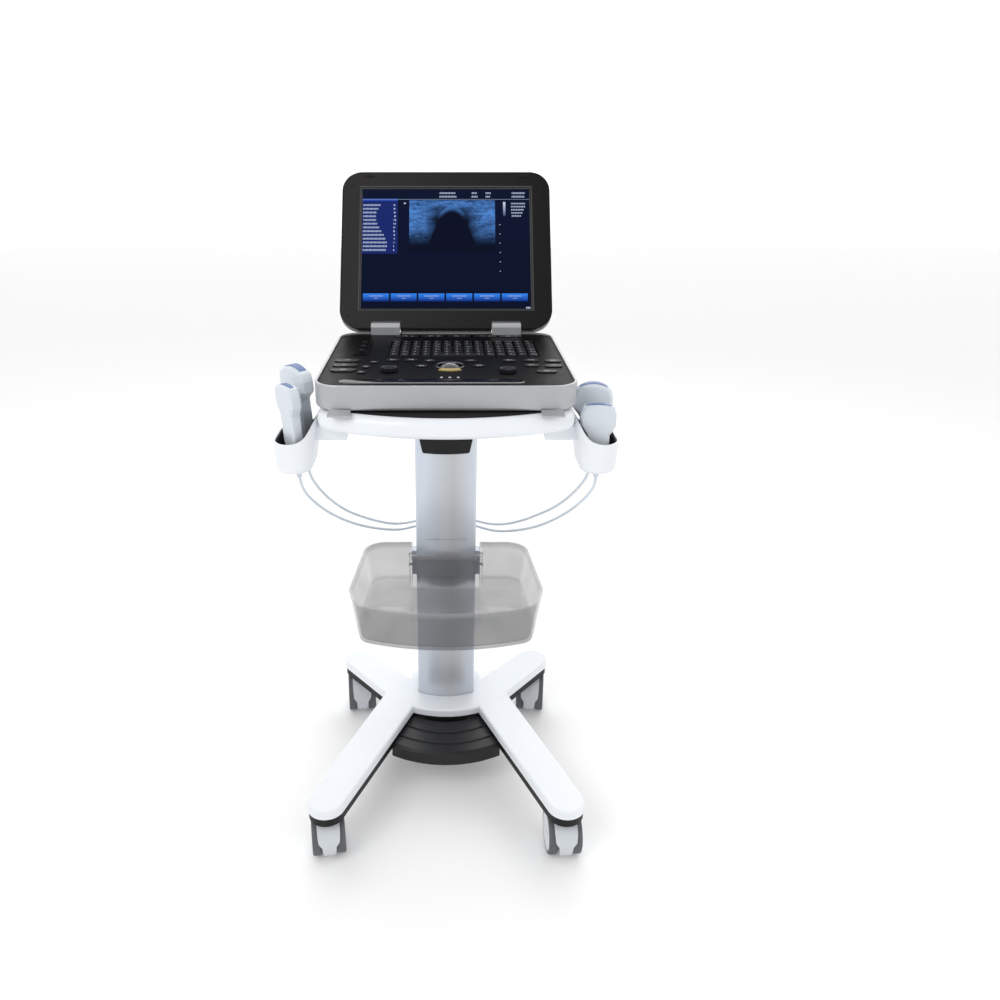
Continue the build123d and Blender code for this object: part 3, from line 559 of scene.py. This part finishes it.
def bevelled(thing, width, segments=3, angle=30.0):
    """Rounds the sharp edges with an applied bevel."""
    alone(thing)
    bevel = thing.modifiers.new("bevel", "BEVEL")
    bevel.width = width
    bevel.segments = segments
    bevel.limit_method = "ANGLE"
    bevel.angle_limit = math.radians(angle)
    bpy.ops.object.modifier_apply(modifier=bevel.name)


def block(low, high):
    """A box between two corners, from the cube primitive."""
    middle = [(a + b) / 2 for a, b in zip(low, high)]
    bpy.ops.mesh.primitive_cube_add(size=1.0, location=middle)
    thing = bpy.context.object
    thing.scale = [b - a for a, b in zip(low, high)]
    bpy.ops.object.transform_apply(location=True, rotation=True, scale=True)
    return thing


def joined(things):
    """One object out of several."""
    bpy.ops.object.select_all(action="DESELECT")
    for thing in things:
        thing.select_set(True)
    bpy.context.view_layer.objects.active = things[0]
    bpy.ops.object.join()
    return bpy.context.object


# %% [markdown]
# ## Screen
# The screen is a lit panel in the bezel's window. A stored picture would fix its detail at one size, so
# this one is worked out from bands, cells and noise: a menu, a scan of soft tissue with a dark arch,
# a grey scale, rows of marks and six tabs. A thin sheet in front of the CAD panel carries it.

# %% Screen
SCREEN_W = 0.304
SCREEN_H = 0.232
SCREEN_LOW = 0.032


def on_lid(across, up, out):
    """A point of the lid, from the middle of its hinge axis, in metres."""
    return tuple(h + across * x + up * u + out * o
                 for h, x, u, o in zip(HINGE, (1.0, 0.0, 0.0), UP_LID, OUT_OF_LID))


def screen_picture():
    """Everything is placed by u, 0 to 1 across, and v, 0 to 1 up the screen."""
    paint = Paint("screen_picture", (0.001, 0.002, 0.008), 0.22, specular=0.05)
    u = (paint.x + SCREEN_W / 2) / SCREEN_W
    v = (paint.along(HINGE, UP_LID) - SCREEN_LOW) / SCREEN_H

    def region(u0, u1, v0, v1):
        return u.inside(u0, u1) * v.inside(v0, v1)

    def marks(u0, u1, v0, v1, rows, pitch, seed):
        """Rows of small generic marks, like lines of writing seen from far away."""
        row = ((v - v0) / (v1 - v0) * rows).floor()
        within = ((v - v0) / (v1 - v0) * rows).within_cell(1.0)
        ragged = ((row * 12.9898 + seed).math("SINE") * 0.5 + 0.5) * 0.45 + 0.5
        end = ragged * (u1 - u0) + u0
        strokes = (u * pitch + row * 7.31).math("SINE").over(-0.35)
        return region(u0, u1, v0, v1) * within.inside(0.25, 0.72) * (end - u).over(0.0) * strokes

    base = paint.mix(v.ramp(0.0, 1.0), (0.001, 0.003, 0.015), (0.002, 0.005, 0.022))
    menu = region(0.0, 0.215, 0.455, 0.905)
    picture = paint.mix(menu, base, (0.010, 0.022, 0.16))
    header = region(0.0, 0.215, 0.895, 0.912)
    picture = paint.mix(header, picture, (0.03, 0.10, 0.55))
    ruled = v.inside(0.905, 0.909)
    picture = paint.mix(ruled, picture, (0.22, 0.30, 0.42))

    # The scan has bright layers at the top, bright sides, and a dark arch between them.
    centre = u - 0.535
    depth = (0.90 - v) / 0.40
    scan = region(0.283, 0.79, 0.47, 0.90)
    layers = paint.noise(150.0, 5.0, (0.25, 1.0, 1.0))
    grain = paint.noise(420.0, 3.0, (0.35, 1.0, 1.0))
    arch_top = centre * centre * 26.0 * 1.4 + 0.20
    inside_arch = (depth - arch_top).ramp(-0.02, 0.06) * (1.0 - abs(centre).ramp(0.125, 0.15))
    top_band = 1.0 - abs(depth - 0.06).ramp(0.02, 0.12)
    ring = (1.0 - abs(depth - arch_top + 0.05).ramp(0.0, 0.08)) * (1.0 - depth.ramp(0.22, 0.42))
    shoulder = (1.0 - depth.ramp(0.22, 0.40)) * 0.32
    sides = abs(centre).ramp(0.09, 0.17) * (1.0 - depth.ramp(0.52, 0.95)) * depth.ramp(0.10, 0.22)
    light = (top_band * 0.75 + ring * 0.45 + sides * 1.0 + shoulder) * (1.0 - inside_arch)
    fade = 1.0 - depth.ramp(0.72, 1.05)
    speckle = (layers * 0.75 + grain * 0.75 - 0.42).math("MAXIMUM", 0.0)
    glow = (light * speckle * fade * 1.7).math("MINIMUM", 1.0)
    scanned = paint.mix(glow, (0.001, 0.002, 0.010), (0.10, 0.30, 0.80))
    picture = paint.mix(scan, picture, scanned)

    # The tabs are six glossy blue keys in a row.
    cell = (u - 0.012) / 0.1615
    across = cell.within_cell(1.0)
    tab = region(0.012, 0.981, 0.066, 0.130) * across.inside(0.03, 0.965)
    shine = paint.mix(v.ramp(0.068, 0.126), (0.003, 0.02, 0.22), (0.04, 0.26, 1.0))
    picture = paint.mix(tab, picture, shine)
    tab_marks = region(0.03, 0.97, 0.084, 0.118) * across.inside(0.25, 0.75) * (
        v.inside(0.106, 0.113).or_(v.inside(0.088, 0.093) * across.inside(0.42, 0.58))) * (
        (u * 900.0).math("SINE").over(-0.3))
    writing = (marks(0.010, 0.16, 0.47, 0.875, 13, 800.0, 1.0)
               .or_(marks(0.19, 0.205, 0.47, 0.875, 13, 500.0, 4.0))
               .or_(marks(0.46, 0.57, 0.915, 0.975, 2, 700.0, 2.0))
               .or_(marks(0.65, 0.70, 0.915, 0.975, 2, 700.0, 3.0))
               .or_(marks(0.735, 0.79, 0.915, 0.975, 2, 700.0, 5.0))
               .or_(marks(0.89, 0.975, 0.915, 0.975, 2, 700.0, 7.0))
               .or_(marks(0.885, 0.975, 0.755, 0.885, 5, 650.0, 6.0))
               .or_(tab_marks))
    scale = region(0.838, 0.852, 0.765, 0.885)
    ticks = u.inside(0.815, 0.821) * v.inside(0.30, 0.74) * (v * 13.0).within_cell(1.0).under(0.08)
    cursor = region(0.250, 0.262, 0.868, 0.880)
    icons = region(0.965, 0.990, 0.004, 0.022) * (u * 80.0).within_cell(1.0).under(0.8)
    grey_scale = paint.mix(v.ramp(0.765, 0.885), (0.01, 0.03, 0.15), (0.7, 0.8, 0.95))
    picture = paint.mix(scale, picture, grey_scale)
    white_marks = writing.or_(ticks).or_(cursor).or_(icons)
    picture = paint.mix(white_marks, picture, (0.52, 0.62, 0.82))
    paint.set("Emission Color", picture)
    paint.shader.inputs["Emission Strength"].default_value = 0.85
    paint.set("Roughness", paint.noise(30.0) * 0.06 + 0.18)
    return paint.material


bpy.ops.mesh.primitive_grid_add(x_subdivisions=8, y_subdivisions=6, size=1.0)
screen = bpy.context.object
screen.scale = (SCREEN_W - 0.001, SCREEN_H - 0.001, 1.0)
screen.rotation_euler = (math.pi / 2 - LEAN, 0.0, 0.0)
screen.location = on_lid(0.0, SCREEN_LOW + SCREEN_H / 2, 0.00225)
settle(screen, "screen_image", "lid", screen_picture(), smooth=0)
print("screen", len(screen.data.polygons), "faces")

# %% [markdown]
# ## Bezel trim
# A thin sloping frame lines the window, two rubber pads keep the closed lid off the deck, and small
# screw covers sit near the corners. The frame is a plane inset twice, which slopes it as it is pushed in.

# %% Bezel trim
pad_rubber = moulded("pad_rubber", (0.010, 0.010, 0.011), 0.6, specular=0.2)
frame_dark = moulded("window_frame", (0.030, 0.029, 0.029), 0.30, specular=0.6)


def window_frame():
    """A thin sloping frame round the screen, from a plane that is inset and pushed in."""
    bpy.ops.mesh.primitive_plane_add(size=1.0)
    thing = bpy.context.object
    thing.scale = (SCREEN_W + 0.006, SCREEN_H + 0.006, 1.0)
    bpy.ops.object.transform_apply(scale=True)
    bpy.ops.object.mode_set(mode="EDIT")
    bpy.ops.mesh.select_all(action="SELECT")
    bpy.ops.mesh.inset(thickness=0.0016, depth=0.0006)
    bpy.ops.mesh.inset(thickness=0.0032, depth=-0.0030)
    bpy.ops.mesh.delete(type="FACE")
    bpy.ops.object.mode_set(mode="OBJECT")
    thing.rotation_euler = (math.pi / 2 - LEAN, 0.0, 0.0)
    thing.location = on_lid(0.0, SCREEN_LOW + SCREEN_H / 2, 0.00502)
    return settle(thing, "window_frame", "lid", frame_dark, smooth=0)


window_frame()


def on_bezel(name, across, up, size, rise, material, turns=4):
    """A small pad or screw cap standing on the bezel: a cylinder, scaled and bevelled."""
    bpy.ops.mesh.primitive_cylinder_add(vertices=8 * turns, radius=0.5, depth=1.0)
    thing = bpy.context.object
    thing.scale = (size[0], size[1], rise)
    bpy.ops.object.transform_apply(scale=True)
    bevelled(thing, rise * 0.45, 2, 50)
    thing.rotation_euler = (math.pi / 2 - LEAN, 0.0, 0.0)
    thing.location = on_lid(across, up, 0.005 + rise / 2 - 0.0004)
    return settle(thing, name, "lid", material)


for side in (-1, 1):
    on_bezel(f"bezel_pad_{side + 1}", side * 0.138, 0.2865, (0.017, 0.0055), 0.0016, pad_rubber)
    on_bezel(f"bezel_screw_top_{side + 1}", side * 0.169, 0.268, (0.0042, 0.0042), 0.0007, pad_rubber)
    on_bezel(f"bezel_screw_low_{side + 1}", side * 0.172, 0.020, (0.0042, 0.0042), 0.0007, pad_rubber)
on_bezel("bezel_dot", 0.004, 0.012, (0.0048, 0.0048), 0.0007, pad_rubber)
print("bezel trimmed")

# %% [markdown]
# ## Keys
# A key is a low block whose top is drawn in and whose edges are soft. Modelling each one would repeat the
# same work, so one key is made and two arrays fill the rows. Only the front row, with its long bar, is
# set out key by key. The white marks are generic and come from the material.

# %% Keys
KEYS_X = (-91.0, 147.0)
KEYS_Y = (26.0, 137.0)
KEY_COLUMNS = 14
KEY_ROWS = 6
KEY_TOP = 806.3
FRONT_ROW = ((0, 1), (1, 2), (2, 3), (3, 4), (4, 9), (9, 10), (10, 11), (11, 12), (12, 13), (13, 14))
PITCH_X = (KEYS_X[1] - KEYS_X[0]) / KEY_COLUMNS
PITCH_Y = (KEYS_Y[1] - KEYS_Y[0]) / KEY_ROWS


def legends(name, origin, pitch, size, density=1.0):
    """Black keys with a small white generic mark in the upper left of each cell."""
    paint = Paint(name, (0.008, 0.008, 0.009), 0.42, specular=0.12)
    column = ((paint.x - origin[0]) / pitch[0]).floor()
    row = ((paint.y - origin[1]) / pitch[1]).floor()
    x = (paint.x - origin[0]).within_cell(pitch[0]) / pitch[0]
    y = (paint.y - origin[1]).within_cell(pitch[1]) / pitch[1]
    kind = ((column * 12.9 + row * 78.2).math("SINE") * 43758.5).within_cell(1.0)
    left = abs(x - 0.42).under(size * 0.4)
    high = abs(y - 0.56).under(size * 0.6)
    bar = abs(y - 0.56).under(size * 0.14).or_(abs(x - 0.42).under(size * 0.13))
    ring = abs(x - 0.42).over(size * 0.30).or_(abs(y - 0.56).over(size * 0.36))
    mark = left * high * (bar * kind.under(0.5) + ring * kind.over(0.5)).math("MINIMUM", 1.0)
    second = abs(x - 0.66).under(size * 0.22) * abs(y - 0.30).under(size * 0.28) * kind.over(0.72)
    on_top = paint.z.over(at(0, 0, KEY_TOP)[2] - 0.0009)
    body = paint.mix(paint.noise(20.0), (0.008, 0.008, 0.009), (0.014, 0.014, 0.016))
    paint.set("Base Color", paint.mix(mark.or_(second) * on_top * density, body, (0.42, 0.43, 0.45)))
    paint.set("Roughness", paint.noise(90.0) * 0.12 + 0.36)
    paint.bump(paint.noise(1500.0), 0.15, 0.0001)
    return paint.material


def key_cap(low, high, top_inset=0.0012):
    """One key: a block whose top is drawn in, with soft edges."""
    key = block(low, high)
    bpy.ops.object.mode_set(mode="EDIT")
    bpy.ops.mesh.select_mode(type="FACE")
    bpy.ops.mesh.select_all(action="DESELECT")
    bpy.ops.object.mode_set(mode="OBJECT")
    top = max(key.data.polygons, key=lambda face: face.center.z)
    top.select = True
    middle = tuple(top.center)
    bpy.ops.object.mode_set(mode="EDIT")
    width, depth = high[0] - low[0], high[1] - low[1]
    bpy.ops.transform.resize(value=(1 - 2 * top_inset / width, 1 - 2 * top_inset / depth, 1.0),
                             center_override=middle)
    bpy.ops.object.mode_set(mode="OBJECT")
    bevelled(key, 0.0007, 2)
    return key


def arrayed(thing, count, step):
    alone(thing)
    array = thing.modifiers.new("array", "ARRAY")
    array.count = count
    array.use_relative_offset = False
    array.use_constant_offset = True
    array.constant_offset_displace = step
    bpy.ops.object.modifier_apply(modifier=array.name)
    return thing


def keyboard():
    gap = 0.9
    low = at(KEYS_X[0] + gap, KEYS_Y[0] + PITCH_Y + gap, 800.0)
    high = at(KEYS_X[0] + PITCH_X - gap, KEYS_Y[0] + 2 * PITCH_Y - gap, KEY_TOP)
    upper = arrayed(key_cap(low, high), KEY_COLUMNS, (PITCH_X * MM, 0.0, 0.0))
    upper = arrayed(upper, KEY_ROWS - 1, (0.0, PITCH_Y * MM, 0.0))
    rows = [upper]
    for first, last in FRONT_ROW:
        rows.append(key_cap(at(KEYS_X[0] + first * PITCH_X + gap, KEYS_Y[0] + gap, 800.0),
                            at(KEYS_X[0] + last * PITCH_X - gap, KEYS_Y[0] + PITCH_Y - gap, KEY_TOP)))
    rows.append(block(at(KEYS_X[0], KEYS_Y[0], 799.0), at(KEYS_X[1], KEYS_Y[1], 800.0)))
    keys = settle(joined(rows), "keyboard", "keyboard",
                  legends("key_legends", at(KEYS_X[0], KEYS_Y[0], 0)[:2],
                          (PITCH_X * MM, PITCH_Y * MM), 0.24, 0.85),
                  smooth=30.0)
    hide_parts("keyboard_keys")
    return keys


keys = keyboard()
print("keyboard", len(keys.data.polygons), "faces")

# %% [markdown]
# ## Deck details
# The deck carries printed marks, a ring round the trackball, three pale marks in front of the gold key, a
# smooth palm plate and two fluted knobs. Marks on buttons could be painted, but thin plates stay sharp
# at any distance and move with their buttons, so they are made as geometry.

# %% Deck details
mark_print = moulded("mark_print", (0.52, 0.53, 0.55), 0.5)
ring_metal = brushed("ring_metal", (0.20, 0.20, 0.21), 0.22, (1.0, 1.0, 1.0), metallic=1.0)
scoop_gloss = moulded("scoop_gloss", (0.006, 0.006, 0.0065), 0.16, grain=200, strength=0.01, specular=0.35)
BUTTONS = (
    [(-152, y, 38, 19) for y in (-6, -36, -66)]
    + [(-110, -18, 13, 13), (-120, -47, 13, 13), (-124, -80, 13, 13)]
    + [(131, -5, 22, 15), (129, -37, 22, 15), (164, -8, 26, 15), (162, -40, 26, 15), (148, -74, 30, 15)]
    + [(-82, -3, 20, 13), (-54, -3, 20, 13), (-25, -8, 18, 13), (-37, -42, 18, 13)]
    + [(38, -8, 18, 13), (50, -40, 18, 13), (98, -6, 22, 13)])


def slab(x, y, z, width, depth, height, corner):
    """A thin plate with rounded corners: a plane, its corners bevelled, then extruded up."""
    bpy.ops.mesh.primitive_plane_add(size=1.0)
    thing = bpy.context.object
    thing.scale = (width * MM, depth * MM, 1.0)
    bpy.ops.object.transform_apply(scale=True)
    bpy.ops.object.mode_set(mode="EDIT")
    bpy.ops.mesh.select_all(action="SELECT")
    bpy.ops.mesh.bevel(offset=corner * MM, offset_type="OFFSET", segments=5, affect="VERTICES")
    bpy.ops.mesh.select_all(action="SELECT")
    bpy.ops.mesh.extrude_region_move(TRANSFORM_OT_translate={"value": (0.0, 0.0, height * MM)})
    bpy.ops.mesh.select_all(action="SELECT")
    bpy.ops.mesh.normals_make_consistent(inside=False)
    bpy.ops.object.mode_set(mode="OBJECT")
    thing.location = at(x, y, z)
    bpy.ops.object.transform_apply(location=True)
    return thing


def glyph(x, y, z, width, kind):
    """One small generic mark made of two or three thin plates."""
    bits = [slab(x, y + 1.2, z, width, 1.1, 0.12, 0.3)]
    if kind % 3 != 0:
        bits.append(slab(x - width * 0.25, y - 1.4, z, width * 0.4, 1.1, 0.12, 0.3))
    if kind % 2 == 0:
        bits.append(slab(x + width * 0.28, y - 1.4, z, width * 0.3, 1.1, 0.12, 0.3))
    return bits


button_marks = []
for index, (x, y, width, depth) in enumerate(BUTTONS):
    button_marks += glyph(x, y, 806.28, min(width * 0.45, 9.0), index)
settle(joined(button_marks), "button_marks", "buttons", mark_print, smooth=0)
function_marks = []
for index, x in enumerate((-67.5, -22.5, 22.5, 67.5, 112.5)):
    function_marks += glyph(x - 4, 178.0, 805.28, 8.0, index) + glyph(x + 9, 178.0, 805.28, 4.0, index + 1)
settle(joined(function_marks), "function_marks", "function_row", mark_print, smooth=0)

three = [slab(x, -106.0, 804.48, 3.4, 6.0, 0.2, 0.9) for x in (-6.5, 5.5, 17.5)]
settle(joined(three), "front_marks", "trolley", mark_print, smooth=0)
scoop = slab(-20.0, -129.0, 804.45, 262.0, 24.0, 0.5, 11.0)
bevelled(scoop, 0.0003, 2, 60)
settle(scoop, "palm_scoop", "trolley", scoop_gloss, smooth=40)
bpy.ops.mesh.primitive_torus_add(major_radius=0.0212, minor_radius=0.0009, major_segments=64,
                                 minor_segments=10, location=at(6.0, -38.0, 805.3))
settle(bpy.context.object, "trackball_ring", "trolley", ring_metal, smooth=60)


# %% Knobs
KNOB_TURNS = 72
KNOB_MIDDLE_Z = 807.9


def knurled(name, centre):
    """Black knob: a cylinder with an inset top and drawn-in grip flutes round its side."""
    hub = at(centre[0], centre[1], KNOB_MIDDLE_Z)
    bpy.ops.mesh.primitive_cylinder_add(vertices=KNOB_TURNS, radius=13.0 * MM, depth=5.2 * MM, location=hub)
    knob = bpy.context.object
    bpy.ops.object.transform_apply(location=True)
    bpy.ops.object.mode_set(mode="EDIT")
    bpy.ops.mesh.select_mode(type="FACE")
    bpy.ops.mesh.select_all(action="DESELECT")
    bpy.ops.object.mode_set(mode="OBJECT")
    max(knob.data.polygons, key=lambda face: face.center.z).select = True
    bpy.ops.object.mode_set(mode="EDIT")
    bpy.ops.mesh.inset(thickness=0.0018, depth=0.0)
    bpy.ops.mesh.inset(thickness=0.0010, depth=-0.0007)
    bpy.ops.mesh.select_mode(type="VERT")
    bpy.ops.mesh.select_all(action="DESELECT")
    bpy.ops.object.mode_set(mode="OBJECT")
    for vertex in knob.data.vertices:
        far = math.hypot(vertex.co.x - hub[0], vertex.co.y - hub[1])
        turn = math.atan2(vertex.co.y - hub[1], vertex.co.x - hub[0])
        step = int(round(turn / (2 * math.pi / KNOB_TURNS))) % 3
        vertex.select = far > 0.0129 and step == 0
    bpy.ops.object.mode_set(mode="EDIT")
    bpy.ops.transform.resize(value=(0.93, 0.93, 1.0), center_override=hub)
    bpy.ops.object.mode_set(mode="OBJECT")
    settle(knob, f"{name}_grip", name, knob_black, smooth=20)
    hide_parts(name)


knob_black = moulded("knob_black", (0.014, 0.014, 0.015), 0.30, grain=600, strength=0.05, specular=0.3)
knurled("knob_left", (-84.0, -68.0))
knurled("knob_right", (91.0, -74.0))
print("deck detailed")

# %% [markdown]
# ## Details of the frame
# Two thin seams cross the column's front above the hub. They could be cut into the column, but its CAD
# solid stays as it is, so each is a fine raised line that hardly stands out of it.

# %% Frame details
seam_grey = moulded("seam_grey", (0.36, 0.39, 0.43), 0.5)
SEAM_HEIGHTS = (0.372, 0.448)
column_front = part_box("column_tube")[0][1]
for index, height in enumerate(SEAM_HEIGHTS):
    bpy.ops.mesh.primitive_cube_add(size=1.0)
    seam = bpy.context.object
    seam.scale = (0.074, 0.0006, 0.0009)
    bpy.ops.object.transform_apply(scale=True)
    bevelled(seam, 0.00015, 2)
    seam.location = (0.0, column_front + 0.00010, height)
    settle(seam, f"column_seam_{index}", "trolley", seam_grey, smooth=30)
print("frame detailed")
